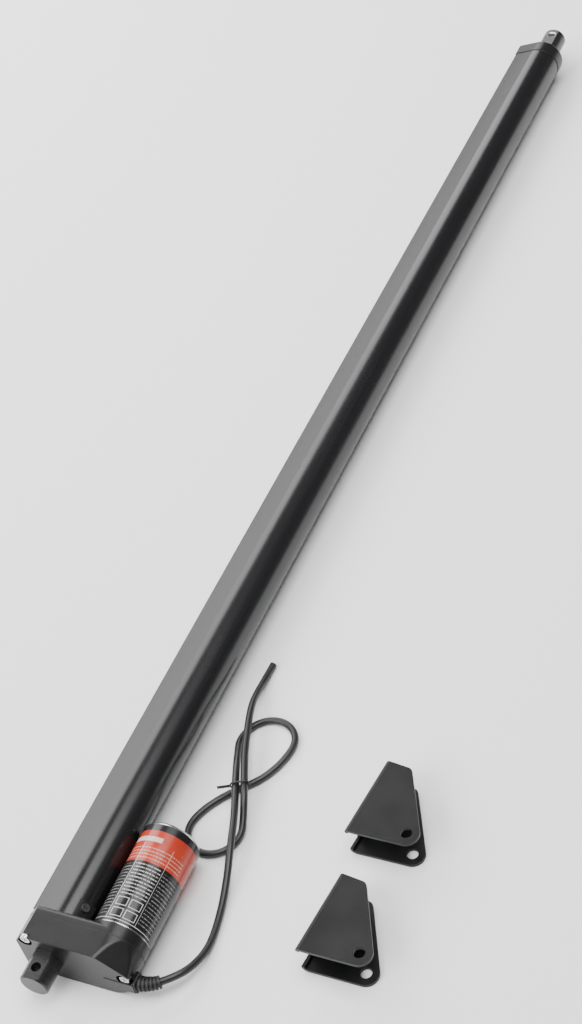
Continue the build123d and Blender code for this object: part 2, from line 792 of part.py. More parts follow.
with BuildPart() as tube_screws:
    for angle in lug_screw_angles:
        c, s = cos(radians(angle)), sin(radians(angle))
        seat_r = tube_r + 0.12 + lug_t + 0.35
        with BuildSketch(Plane(origin=(lug_screw_x, seat_r * c, seat_r * s), z_dir=(0, c, s))):
            Circle(2.75)
        extrude(amount=1.7)
        with BuildSketch(Plane(origin=(lug_screw_x, seat_r * c, seat_r * s), z_dir=(0, c, s))):
            Circle(1.25)
        extrude(amount=-(seat_r - tube_bore / 2 - 0.2))
        tip_plane = Plane(
            origin=(lug_screw_x, (seat_r + 1.7) * c, (seat_r + 1.7) * s), z_dir=(0, c, s)
        )
        with BuildSketch(tip_plane):
            Rectangle(0.7, 3.4)
            Rectangle(3.4, 0.7)
        extrude(amount=-0.9, mode=Mode.SUBTRACT)
save(tube_screws, "tube_screws")

cap_x0 = tube_x1 + gasket_t
with BuildPart() as cap_gasket:
    with BuildSketch(on_x(tube_x1)):
        add(tube_outline(0.25))
        Circle(tube_bore / 2, mode=Mode.SUBTRACT)
        with Locations(*cap_screw_at):
            Circle(cap_screw_d / 2 + 0.15, mode=Mode.SUBTRACT)
    extrude(amount=gasket_t)
save(cap_gasket, "front_cap_gasket")

with BuildPart() as front_cap:
    with BuildSketch(on_x(cap_x0)):
        add(tube_outline(cap_lip))
    extrude(amount=cap_x1 - cap_x0)
    fillet(front_cap.faces().sort_by(Axis.X)[-1].edges(), cap_round)
    with BuildSketch(on_x(spigot_x0)):
        Circle(tube_bore / 2 - fit)
    extrude(amount=cap_x0 - spigot_x0)
    with BuildSketch(on_x(spigot_x0)):
        Circle(spigot_bore / 2)
    extrude(amount=40, mode=Mode.SUBTRACT)
    with BuildSketch(on_x(cap_x0)):
        Circle(bush_r + fit)
    extrude(amount=40, mode=Mode.SUBTRACT)
    with BuildSketch(on_x(cap_x0 - 1)):
        with Locations(*cap_screw_at):
            Circle(cap_screw_d / 2 + 0.15)
    extrude(amount=40, mode=Mode.SUBTRACT)
    with BuildSketch(on_x(cap_x1 - 1.9)):
        with Locations(*cap_screw_at):
            Circle(cap_screw_head_r + 0.15)
    extrude(amount=10, mode=Mode.SUBTRACT)
save(front_cap, "front_cap")

with BuildPart() as guide_bush:
    with BuildSketch(on_x(cap_x0 + 0.05)):
        Circle(bush_r)
        Circle(rod_d / 2 + run_fit, mode=Mode.SUBTRACT)
    extrude(amount=bush_x1 - cap_x0 - 0.05)
save(guide_bush, "rod_guide_bush")

with BuildPart() as wiper_seal:
    with BuildSketch(on_x(wiper_x0)):
        Circle(bush_r)
        Circle(rod_d / 2 + 0.04, mode=Mode.SUBTRACT)
    extrude(amount=cap_x1 - wiper_x0)
    lip = wiper_seal.faces().sort_by(Axis.X)[-1].edges().sort_by(SortBy.LENGTH)[0]
    chamfer(lip, 0.6)
save(wiper_seal, "rod_wiper_seal")

with BuildPart() as cap_screws:
    for y, z in cap_screw_at:
        with BuildSketch(on_x(cap_x1 - 1.85)):
            with Locations((y, z)):
                Circle(cap_screw_head_r)
        extrude(amount=1.4)
        with BuildSketch(on_x(cap_x1 - 1.85)):
            with Locations((y, z)):
                Circle(cap_screw_d / 2)
        extrude(amount=-(cap_x1 - 1.85 - tube_x1 + cap_screw_depth))
        with BuildSketch(on_x(cap_x1 - 0.45)):
            with Locations((y, z)):
                Rectangle(0.6, 2.4)
                Rectangle(2.4, 0.6)
        extrude(amount=-0.7, mode=Mode.SUBTRACT)
save(cap_screws, "front_cap_screws")

# Limit switches, their strip and leads, all in the tube's channel
strip_y1 = channel_y - 0.1
with BuildPart() as switch_strip:
    with BuildSketch(on_x(strip_x0)):
        with Locations((strip_y1 - strip_t / 2, 0)):
            Rectangle(strip_t, 2 * strip_half_z)
    extrude(amount=strip_x1 - strip_x0)
save(switch_strip, "limit_switch_strip")

sw_l, sw_h, sw_w = switch_size
for number, x in enumerate(switch_x, start=1):
    with BuildPart() as limit_switch:
        y1 = strip_y1 - strip_t - 0.02
        with BuildSketch(on_x(x - sw_l / 2)):
            with Locations((y1 - sw_h / 2, 0)):
                Rectangle(sw_h, sw_w)
        extrude(amount=sw_l)
        with BuildSketch(Plane(origin=(x + sw_l / 4, y1 - sw_h, 0), z_dir=(0, -1, 0))):
            Circle(0.9)
        extrude(amount=0.15)
    save(limit_switch, f"limit_switch_{number}")

with BuildPart() as switch_leads:
    lead_y = channel_y - 3.2
    for z, x1 in ((5.6, switch_x[1] - sw_l / 2), (-5.6, switch_x[0] - sw_l / 2)):
        with BuildSketch(on_x(case_x1 - case_front_wall - 1.5)):
            with Locations((lead_y, z)):
                Circle(wire_d / 2)
        extrude(amount=x1 - case_x1 + case_front_wall + 1.5)
save(switch_leads, "limit_switch_leads")

# ---------------------------------------------------------------------------
# Motor
# ---------------------------------------------------------------------------

axis_y = -centre_distance
plate_x0 = motor_x0
rear_bush_x1 = motor_x1 - motor_wall
rear_hub_r = 6.0


def ring_on_motor(x0, x1, r0, r1):
    with BuildSketch(on_x(x0)) as ring:
        with Locations((axis_y, 0)):
            Circle(r1)
            Circle(r0, mode=Mode.SUBTRACT)
    extrude(ring.sketch, amount=x1 - x0)


with BuildPart() as motor_can:
    with BuildSketch(on_x(motor_x0)):
        with Locations((axis_y, 0)):
            Circle(motor_r)
    extrude(amount=motor_x1 - motor_x0)
    fillet(motor_can.faces().sort_by(Axis.X)[-1].edges(), motor_end_round)
    with BuildSketch(on_x(motor_x1 - 0.5)):
        with Locations((axis_y, 0)):
            Circle(rear_hub_r + 1.2)
    extrude(amount=1.6)
    with BuildSketch(on_x(motor_x0)):
        with Locations((axis_y, 0)):
            Circle(motor_r - motor_wall)
    extrude(amount=motor_x1 - motor_wall - motor_x0 - 2.0, mode=Mode.SUBTRACT)
    with BuildSketch(on_x(motor_x1 - motor_wall - 2.1)):
        with Locations((axis_y, 0)):
            Circle(rear_hub_r + fit)
    extrude(amount=3.2, mode=Mode.SUBTRACT)
    # two round vents in the closed end
    with BuildSketch(on_x(motor_x1 - 6)):
        with Locations((axis_y, 12.0), (axis_y, -12.0)):
            Circle(1.8)
    extrude(amount=10, mode=Mode.SUBTRACT)
save(motor_can, "motor_can")

with BuildPart() as motor_label:
    with BuildSketch(on_x(label_x0)):
        with Locations((axis_y, 0)):
            Circle(motor_r + 0.02 + label_t)
            Circle(motor_r + 0.02, mode=Mode.SUBTRACT)
        with Locations((axis_y + 4.0, -motor_r)):
            Rectangle(3.0, 8.0, mode=Mode.SUBTRACT)
    extrude(amount=label_x1 - label_x0)
save(motor_label, "motor_label")

with BuildPart() as end_plate:
    ring_on_motor(plate_x0 + 0.05, plate_x0 + end_plate_t, 5.0 + fit, motor_r - motor_wall - fit)
    with BuildSketch(on_x(plate_x0)):
        with Locations((axis_y, 12.5), (axis_y, -12.5)):
            Circle(1.5 + fit)
    extrude(amount=end_plate_t, mode=Mode.SUBTRACT)
save(end_plate, "motor_end_plate")

with BuildPart() as motor_screws:
    for z in (12.5, -12.5):
        with BuildSketch(on_x(case_x1 - case_front_wall - 1.8)):
            with Locations((axis_y, z)):
                Circle(2.7)
        extrude(amount=1.75)
        with BuildSketch(on_x(case_x1 - case_front_wall - 0.05)):
            with Locations((axis_y, z)):
                Circle(1.5)
        extrude(amount=plate_x0 + end_plate_t - 0.3 - case_x1 + case_front_wall + 0.05)
save(motor_screws, "motor_screws")

with BuildPart() as front_bush:
    ring_on_motor(
        plate_x0 + 0.1, plate_x0 + end_plate_t - 0.1, motor_shaft_d / 2 + 0.05, 5.0
    )
save(front_bush, "motor_front_bush")

with BuildPart() as rear_bush:
    ring_on_motor(
        rear_bush_x1 - 3.0, rear_bush_x1 + 0.9, motor_shaft_d / 2 + 0.05, rear_hub_r
    )
save(rear_bush, "motor_rear_bush")

with BuildPart() as magnets:
    ring_on_motor(magnet_x0, magnet_x1, motor_r - motor_wall - magnet_t, motor_r - motor_wall - fit)
    with BuildSketch(on_x(magnet_x0)):
        with Locations((axis_y, 0)):
            Rectangle(60, 13)
    extrude(amount=magnet_x1 - magnet_x0, mode=Mode.SUBTRACT)
save(magnets, "motor_magnets")

brush_l, brush_w = brush_size
holder_x0 = plate_x0 + end_plate_t + 0.2
with BuildPart() as brush_holder:
    ring_on_motor(holder_x0, magnet_x0 - 1.5, 10.5, motor_r - motor_wall - 0.3)
    for side in (1, -1):
        with BuildSketch(on_x(holder_x0)):
            with Locations((axis_y, side * 9.0)):
                Rectangle(brush_w + 2.4, 5.0)
        extrude(amount=magnet_x0 - 1.5 - holder_x0)
        with BuildSketch(on_x((commutator_x0 + commutator_x1 - brush_l) / 2 - 0.1)):
            with Locations((axis_y, side * 9.0)):
                Rectangle(brush_w + 0.1, 8.0)
        extrude(amount=brush_l + 0.2, mode=Mode.SUBTRACT)
save(brush_holder, "motor_brush_holder")

with BuildPart() as brushes:
    for side in (1, -1):
        with BuildSketch(on_x((commutator_x0 + commutator_x1 - brush_l) / 2)):
            with Locations((axis_y, side * (commutator_r + 0.1 + brush_w / 2))):
                Rectangle(brush_w, brush_w)
        extrude(amount=brush_l)
save(brushes, "motor_brushes")

with BuildPart() as motor_shaft:
    with BuildSketch(on_x(stage1_x0 - 0.8)):
        with Locations((axis_y, 0)):
            Circle(motor_shaft_d / 2)
    extrude(amount=rear_bush_x1 + 0.5 - stage1_x0 + 0.8)
    chamfer(motor_shaft.edges().filter_by(GeomType.CIRCLE), 0.3)
save(motor_shaft, "motor_shaft")

with BuildPart() as commutator:
    ring_on_motor(commutator_x0, commutator_x1, motor_shaft_d / 2 + fit, commutator_r)
    with BuildSketch(on_x(commutator_x0)):
        with Locations((axis_y, 0)):
            with PolarLocations(commutator_r, 2 * armature_slots, start_angle=9.0):
                Rectangle(1.2, 0.35, mode=Mode.ADD)
    extrude(amount=commutator_x1 - commutator_x0, mode=Mode.SUBTRACT)
save(commutator, "commutator")

slot_r = 7.4
slot_w = 5.6
with BuildPart() as armature:
    ring_on_motor(armature_x0, armature_x1, motor_shaft_d / 2 + fit, armature_r)
    with BuildSketch(on_x(armature_x0)):
        with Locations((axis_y, 0)):
            with PolarLocations(slot_r, armature_slots, start_angle=36.0):
                Rectangle(slot_w, 5.0)
            with PolarLocations(armature_r, armature_slots, start_angle=36.0):
                Rectangle(5.0, 1.8)
    extrude(amount=armature_x1 - armature_x0, mode=Mode.SUBTRACT)
save(armature, "armature_core")

with BuildPart() as windings:
    with BuildSketch(on_x(armature_x0 - 2.6)):
        with Locations((axis_y, 0)):
            with PolarLocations(slot_r, armature_slots, start_angle=36.0):
                Rectangle(slot_w - 0.3, 4.7)
    extrude(amount=armature_x1 - armature_x0 + 5.2)
    for x0 in (armature_x0 - 2.8, armature_x1 + 0.2):
        ring_on_motor(x0, x0 + 2.6, motor_shaft_d / 2 + 0.4, slot_r + 2.8)
save(windings, "armature_windings")

# ---------------------------------------------------------------------------
# Cable boot, cable and twist tie
# ---------------------------------------------------------------------------

boot_centre = (boot_root_x + boot_bend_r, boot_root_y)


def boot_plane(angle):
    """A plane across the boot's bent axis; angle 0 is its root, looking outwards."""
    a = radians(angle)
    x = boot_centre[0] - boot_bend_r * cos(a)
    y = boot_centre[1] - boot_bend_r * sin(a)
    return Plane(origin=(x, y, boot_z), x_dir=(0, 0, 1), z_dir=(sin(a), -cos(a), 0))


with BuildPart() as cable_boot:
    sections = 6
    for k in range(sections + 1):
        with BuildSketch(boot_plane(boot_turn * k / sections)):
            Circle(boot_r0 + (boot_r1 - boot_r0) * k / sections)
    loft()
    with BuildSketch(boot_plane(0)):
        RectangleRounded(2 * boss_r - 0.6, 2 * boss_r - 0.6, 1.5)
    extrude(amount=boss_out)
    for k in range(rib_count):
        share = (k + 1.25) / (rib_count + 0.6)
        rib_r = rib_r0 + (rib_r1 - rib_r0) * share
        with BuildSketch(boot_plane(boot_turn * share)):
            Circle(rib_r)
        extrude(amount=rib_t / 2, both=True)
save(cable_boot, "cable_boot")


def route_radii(points):
    """The arc at each corner: 0.45 of the shorter run over the tangent of half the turn."""
    radii = []
    for a, b, c in zip(points, points[1:], points[2:]):
        back = Vector(*b) - Vector(*a)
        ahead = Vector(*c) - Vector(*b)
        turn = radians(back.get_angle(ahead))
        radii.append(0.45 * min(back.length, ahead.length) / tan(turn / 2))
    return radii


cable_radii = route_radii(cable_route)
start_dir = Vector(*cable_route[1]) - Vector(*cable_route[0])
with BuildPart() as power_cable:
    with BuildLine() as cable_path:
        FilletPolyline(*cable_route, radius=cable_radii)
    with BuildSketch(Plane(origin=cable_route[0], z_dir=start_dir)):
        Circle(cable_d / 2)
    sweep(path=cable_path.wires()[0])
save(power_cable, "power_cable")
cable_length = cable_path.wires()[0].length
section = pi * cable_d**2 / 4
print("cable length", round(cable_length, 1))
print("cable volume / (section x length)", round(power_cable.part.volume / (section * cable_length), 5))
print("cable radii", [round(r, 1) for r in cable_radii])

# the tie's plane stands across the two strands
along = (cos(radians(tie_heading)), sin(radians(tie_heading)), 0)
across = (-sin(radians(tie_heading)), cos(radians(tie_heading)), 0)
tie_plane = Plane(origin=tie_at, x_dir=across, z_dir=along)
tie_r = cable_d / 2 + tie_gap + tie_wire_d / 2
with BuildPart() as twist_tie:
    with BuildSketch(tie_plane.offset(-tie_wire_d / 2)):
        SlotCenterToCenter(2 * tie_strand_offset, 2 * (tie_r + tie_wire_d / 2))
        SlotCenterToCenter(2 * tie_strand_offset, 2 * (tie_r - tie_wire_d / 2), mode=Mode.SUBTRACT)
    extrude(amount=tie_wire_d)
    tail_from = Vector(*tie_at) + Vector(*across) * (tie_strand_offset + tie_r)
    with BuildSketch(Plane(origin=tail_from, z_dir=across)):
        Circle(0.9)
    extrude(amount=tie_tail)
save(twist_tie, "twist_tie")

# ---------------------------------------------------------------------------
# Mounting brackets: u along the base, v out to the pin hole, w across the gap
# ---------------------------------------------------------------------------

bracket_h = bracket_gap + 2 * bracket_t


def cheek_outline():
    """The cheek: base along u, a round lug at the pin hole, a short narrow end."""
    hole = Vector(bracket_hole_u, bracket_hole_v)
    narrow = Vector(bracket_base, bracket_narrow)

    def touch(point, side):
        """Where the line from a point grazes the lug's circle."""
        back = point - hole
        a = atan2(back.Y, back.X) + side * acos(bracket_lug_r / back.length)
        return hole + Vector(cos(a), sin(a)) * bracket_lug_r

    high = touch(narrow, 1)
    low = touch(Vector(0, bracket_heel), -1)
    crown = hole + (high + low - hole - hole).normalized() * bracket_lug_r
    with BuildSketch() as cheek:
        with BuildLine():
            Polyline(
                (low.X, low.Y), (0, bracket_heel), (0, 0), (bracket_base, 0),
                (narrow.X, narrow.Y), (high.X, high.Y),
            )
            ThreePointArc((high.X, high.Y), (crown.X, crown.Y), (low.X, low.Y))
        make_face()
        corner = cheek.vertices().filter_by(
            lambda v: v.X > bracket_base - 0.01 and v.Y > 1
        )
        fillet(corner, bracket_corner_r)
    return cheek.sketch


for number, (px, py, yaw) in enumerate(bracket_places, start=1):
    u_dir = (cos(radians(yaw)), sin(radians(yaw)), 0)
    top = Plane(origin=(px, py, floor_z + bracket_h), x_dir=u_dir, z_dir=(0, 0, -1))
    with BuildPart() as bracket:
        with BuildSketch(top):
            add(cheek_outline())
        extrude(amount=bracket_h)
        along_base = bracket.edges().filter_by(
            lambda e: abs(top.to_local_coords(e.center()).Y) < 0.01
            and abs((e @ 1 - e @ 0).Z) < 0.01
        )
        fillet(along_base, bracket_bend_r)
        # the open gap between the cheeks
        with BuildSketch(top.offset(bracket_t)):
            with Locations((bracket_base / 2, bracket_t + 40)):
                Rectangle(2 * bracket_base, 80)
        extrude(amount=bracket_gap, mode=Mode.SUBTRACT)
        # bend reliefs at the pin end of the base
        with BuildSketch(top.offset(bracket_t + bracket_lip)):
            Rectangle(2 * bracket_relief, 30)
        extrude(amount=bracket_gap - 2 * bracket_lip, mode=Mode.SUBTRACT)
        with BuildSketch(top):
            with Locations((bracket_hole_u, bracket_hole_v)):
                Circle(bracket_hole_d / 2)
        extrude(amount=bracket_h, mode=Mode.SUBTRACT)
        base_middle = top.from_local_coords(Vector(0, 0, bracket_h / 2))
        base_face = Plane(origin=base_middle, x_dir=top.x_dir, z_dir=top.y_dir)
        with BuildSketch(base_face):
            with Locations(*[(u, 0) for u in bracket_base_holes_u]):
                Circle(bracket_base_hole_d / 2)
        extrude(amount=bracket_t + 1, mode=Mode.SUBTRACT)
    save(bracket, f"mounting_bracket_{number}")
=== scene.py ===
import json
from math import cos, pi, radians, sin

import bpy
from mathutils import Matrix, Vector


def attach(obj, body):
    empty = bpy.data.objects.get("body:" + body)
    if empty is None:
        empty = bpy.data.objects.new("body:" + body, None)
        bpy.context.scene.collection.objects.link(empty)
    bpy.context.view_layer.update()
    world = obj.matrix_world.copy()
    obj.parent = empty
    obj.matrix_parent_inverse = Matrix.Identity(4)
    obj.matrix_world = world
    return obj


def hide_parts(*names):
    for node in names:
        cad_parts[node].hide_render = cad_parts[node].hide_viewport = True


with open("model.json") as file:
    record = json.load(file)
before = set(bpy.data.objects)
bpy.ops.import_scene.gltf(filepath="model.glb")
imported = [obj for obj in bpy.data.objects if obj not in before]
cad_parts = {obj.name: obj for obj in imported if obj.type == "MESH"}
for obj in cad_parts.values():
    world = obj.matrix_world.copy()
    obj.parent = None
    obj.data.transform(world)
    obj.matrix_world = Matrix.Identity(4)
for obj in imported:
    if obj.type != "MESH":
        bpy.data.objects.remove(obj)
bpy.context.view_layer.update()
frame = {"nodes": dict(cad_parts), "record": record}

MM = 0.001


# ---------------------------------------------------------------------------
# Camera, floor and light
# ---------------------------------------------------------------------------

def set_camera():
    """A long lens above and behind the motor end, rolled a little."""
    data = bpy.data.cameras.new("Camera")
    camera = bpy.data.objects.new("Camera", data)
    bpy.context.scene.collection.objects.link(camera)
    data.lens = 70.07
    data.sensor_width = 36.0
    data.clip_end = 20.0
    right = Vector((0.3927, -0.8958, -0.2082)).normalized()
    ahead = Vector((0.5821, 0.4174, -0.6978))
    ahead = (ahead - right * ahead.dot(right)).normalized()
    up = right.cross(ahead)
    turn = Matrix((right, up, -ahead)).transposed().to_4x4()
    camera.matrix_world = Matrix.Translation(Vector((-454.5, -611.7, 1027.0)) * MM) @ turn
    bpy.context.scene.camera = camera


def soft_light(name, place, aim, size, watts):
    """A rectangular soft box turned towards a point."""
    data = bpy.data.lights.new(name, "AREA")
    data.shape = "RECTANGLE"
    data.size, data.size_y = size
    data.energy = watts
    lamp = bpy.data.objects.new(name, data)
    bpy.context.scene.collection.objects.link(lamp)
    lamp.location = place
    lamp.rotation_euler = (Vector(aim) - Vector(place)).to_track_quat("-Z", "Y").to_euler()


def set_stage():
    """A pale sheet to stand on, a pale sky and three soft boxes."""
    bpy.ops.object.select_all(action="DESELECT")
    bpy.ops.mesh.primitive_plane_add(size=14.0, location=(0.5, 0.0, -0.0201))
    floor = bpy.context.active_object
    floor.name = "studio_floor"
    paper = bpy.data.materials.new("studio_paper")
    paper.use_nodes = True
    shader = paper.node_tree.nodes["Principled BSDF"]
    shader.inputs["Base Color"].default_value = (0.90, 0.90, 0.90, 1.0)
    shader.inputs["Roughness"].default_value = 0.9
    floor.data.materials.append(paper)

    world = bpy.data.worlds.new("studio_sky")
    world.use_nodes = True
    world.node_tree.nodes["Background"].inputs["Color"].default_value = (1.0, 1.0, 1.0, 1.0)
    world.node_tree.nodes["Background"].inputs["Strength"].default_value = 0.22
    bpy.context.scene.world = world
    soft_light("long_side_box", (1.38, 1.00, 0.93), (1.10, 0.0, 0.0), (2.5, 0.95), 42.0)
    soft_light("near_box", (-1.4, 1.0, 1.9), (0.3, 0.0, 0.0), (2.2, 2.0), 85.0)
    soft_light("top_box", (0.4, -0.5, 2.6), (0.4, -0.1, 0.0), (1.8, 1.8), 85.0)


# ---------------------------------------------------------------------------
# Finishes
# ---------------------------------------------------------------------------

class Finish:
    """A small helper that wires up one procedural material."""

    def __init__(self, name, colour, rough, metal=0.0):
        self.material = bpy.data.materials.new(name)
        self.material.use_nodes = True
        self.tree = self.material.node_tree
        self.shader = self.tree.nodes["Principled BSDF"]
        self.shader.inputs["Base Color"].default_value = (*colour, 1.0)
        self.shader.inputs["Roughness"].default_value = rough
        self.shader.inputs["Metallic"].default_value = metal
        self.place = self.tree.nodes.new("ShaderNodeTexCoord").outputs["Object"]

    def link(self, a, b):
        self.tree.links.new(a, b)

    def node(self, kind, **values):
        made = self.tree.nodes.new(kind)
        for key, value in values.items():
            setattr(made, key, value)
        return made

    def sums(self, operation, a, b=None, c=None):
        made = self.node("ShaderNodeMath", operation=operation)
        for socket, value in zip(made.inputs, (a, b, c)):
            if value is None:
                continue
            if isinstance(value, (int, float)):
                socket.default_value = value
            else:
                self.link(value, socket)
        return made.outputs[0]

    def axes(self, shift=(0.0, 0.0, 0.0)):
        """The three object coordinates, counted from a point in metres."""
        moved = self.node("ShaderNodeMapping")
        moved.inputs["Location"].default_value = [-v for v in shift]
        self.link(self.place, moved.inputs["Vector"])
        split = self.node("ShaderNodeSeparateXYZ")
        self.link(moved.outputs[0], split.inputs[0])
        return split.outputs[0], split.outputs[1], split.outputs[2]

    def distance(self, a, b):
        """How far a point is from an axis, from its two coordinates across it."""
        squares = self.sums("ADD", self.sums("MULTIPLY", a, a), self.sums("MULTIPLY", b, b))
        return self.sums("SQRT", squares)

    def noise(self, scale, detail=4.0, stretch=(1.0, 1.0, 1.0), rough=0.55):
        moved = self.node("ShaderNodeMapping")
        moved.inputs["Scale"].default_value = stretch
        self.link(self.place, moved.inputs["Vector"])
        made = self.node("ShaderNodeTexNoise")
        made.inputs["Scale"].default_value = scale
        made.inputs["Detail"].default_value = detail
        made.inputs["Roughness"].default_value = rough
        self.link(moved.outputs[0], made.inputs["Vector"])
        return made.outputs["Fac"]

    def spread(self, value, low, high, at0=0.3, at1=0.7):
        made = self.node("ShaderNodeMapRange")
        made.inputs["From Min"].default_value = at0
        made.inputs["From Max"].default_value = at1
        made.inputs["To Min"].default_value = low
        made.inputs["To Max"].default_value = high
        self.link(value, made.inputs["Value"])
        return made.outputs[0]

    def blend(self, share, first, second):
        made = self.node("ShaderNodeMix", data_type="RGBA")
        self.link(share, made.inputs["Factor"])
        for socket, value in ((made.inputs[6], first), (made.inputs[7], second)):
            if isinstance(value, tuple):
                socket.default_value = (*value, 1.0)
            else:
                self.link(value, socket)
        return made.outputs[2]

    def colour(self, value):
        self.link(value, self.shader.inputs["Base Color"])

    def rough(self, value):
        self.link(value, self.shader.inputs["Roughness"])

    def bump(self, height, strength, depth):
        made = self.node("ShaderNodeBump")
        made.inputs["Strength"].default_value = strength
        made.inputs["Distance"].default_value = depth
        self.link(height, made.inputs["Height"])
        self.link(made.outputs[0], self.shader.inputs["Normal"])

    def coat(self, weight, rough):
        self.shader.inputs["Coat Weight"].default_value = weight
        self.shader.inputs["Coat Roughness"].default_value = rough


def speckled(name, dark, light, rough, metal, grain, bump):
    """A plain finish with fine colour, gloss and surface variation."""
    finish = Finish(name, dark, rough, metal)
    fine = finish.noise(grain, 5.0)
    finish.colour(finish.blend(finish.spread(fine, 0.0, 1.0), dark, light))
    broad = finish.noise(grain * 0.04, 3.0)
    finish.rough(finish.spread(broad, rough - 0.05, rough + 0.06))
    finish.bump(fine, bump, 0.00012)
    return finish.material


def drawn_black():
    """Anodised extrusion: fine lines along the tube and slow changes of gloss."""
    finish = Finish("anodised_black_tube", (0.006, 0.006, 0.007), 0.26, 0.0)
    lines = finish.noise(700.0, 3.0, (0.010, 1.0, 1.0))
    specks = finish.noise(2600.0, 2.0)
    tone = finish.spread(lines, 0.0, 1.0, 0.35, 0.65)
    finish.colour(finish.blend(tone, (0.0050, 0.0050, 0.0060), (0.0080, 0.0080, 0.0090)))
    cloud = finish.noise(9.0, 3.0, (0.35, 1.0, 1.0))
    both = finish.sums("MULTIPLY_ADD", specks, 0.06, finish.spread(cloud, 0.19, 0.25))
    finish.rough(both)
    finish.shader.inputs["Specular IOR Level"].default_value = 0.50
    finish.bump(finish.sums("MULTIPLY_ADD", specks, 0.4, lines), 0.06, 0.00006)
    return finish.material


def turned(name, dark, light, rough, metal, centre, ring=900.0):
    """Lathe-turned metal: fine rings about an axis, with slow stains."""
    finish = Finish(name, dark, rough, metal)
    x, y, z = finish.axes(centre)
    radius = finish.distance(y, z)
    depth = finish.sums("ADD", radius, x)
    rings = finish.node("ShaderNodeTexNoise", noise_dimensions="1D")
    rings.inputs["Scale"].default_value = ring * 4.0
    rings.inputs["Detail"].default_value = 2.0
    finish.link(depth, rings.inputs["W"])
    stain = finish.noise(60.0, 4.0)
    share = finish.sums("MULTIPLY_ADD", stain, 0.5, finish.sums("MULTIPLY", rings.outputs["Fac"], 0.5))
    finish.colour(finish.blend(finish.spread(share, 0.0, 1.0, 0.35, 0.65), dark, light))
    finish.rough(finish.spread(rings.outputs["Fac"], rough - 0.05, rough + 0.08))
    finish.bump(rings.outputs["Fac"], 0.12, 0.00006)
    return finish.material


def eye_with_bright_bore():
    """The blackened front eye, bare in and just round its drilled hole."""
    finish = Finish("blackened_eye_bare_bore", (0.012, 0.012, 0.012), 0.28)
    x, y, z = finish.axes((1.005, 0.0, 0.0))
    radius = finish.distance(x, y)
    bare = finish.spread(radius, 1.0, 0.0, 0.0039, 0.0043)
    grain = finish.noise(1400.0, 3.0)
    skin = finish.blend(finish.spread(grain, 0.0, 1.0), (0.009, 0.009, 0.0095), (0.017, 0.017, 0.017))
    finish.colour(finish.blend(bare, skin, (0.62, 0.62, 0.61)))
    finish.link(bare, finish.shader.inputs["Metallic"])
    finish.rough(finish.spread(grain, 0.24, 0.34))
    finish.bump(grain, 0.10, 0.00006)
    return finish.material


def cast_black():
    """Gloss black over a casting: a slow wave in the coat and a fine grain under it."""
    finish = Finish("gloss_black_casting", (0.007, 0.007, 0.0075), 0.26, 0.0)
    cloud = finish.noise(26.0, 3.0)
    grain = finish.noise(900.0, 4.0)
    share = finish.spread(cloud, 0.0, 1.0)
    finish.colour(finish.blend(share, (0.008, 0.008, 0.0085), (0.012, 0.012, 0.013)))
    finish.rough(finish.spread(cloud, 0.24, 0.34))
    height = finish.sums("MULTIPLY_ADD", grain, 0.25, finish.noise(150.0, 2.0))
    finish.bump(height, 0.10, 0.00012)
    finish.shader.inputs["Specular IOR Level"].default_value = 0.32
    return finish.material


def bracket_paint():
    """Satin black paint on folded steel sheet, with a little orange peel."""
    finish = Finish("satin_black_sheet_steel", (0.006, 0.006, 0.0065), 0.40, 0.0)
    peel = finish.noise(420.0, 3.0)
    cloud = finish.noise(30.0, 3.0)
    share = finish.spread(cloud, 0.0, 1.0)
    finish.colour(finish.blend(share, (0.0055, 0.0055, 0.006), (0.009, 0.009, 0.0095)))
    finish.rough(finish.spread(cloud, 0.34, 0.46))
    finish.bump(peel, 0.10, 0.00012)
    finish.shader.inputs["Specular IOR Level"].default_value = 0.26
    return finish.material


def between(finish, value, low, high, soft=0.00012):
    """One inside low to high, with a thin soft edge."""
    rise = finish.spread(value, 0.0, 1.0, low - soft, low + soft)
    fall = finish.spread(value, 1.0, 0.0, high - soft, high + soft)
    return finish.sums("MULTIPLY", rise, fall)


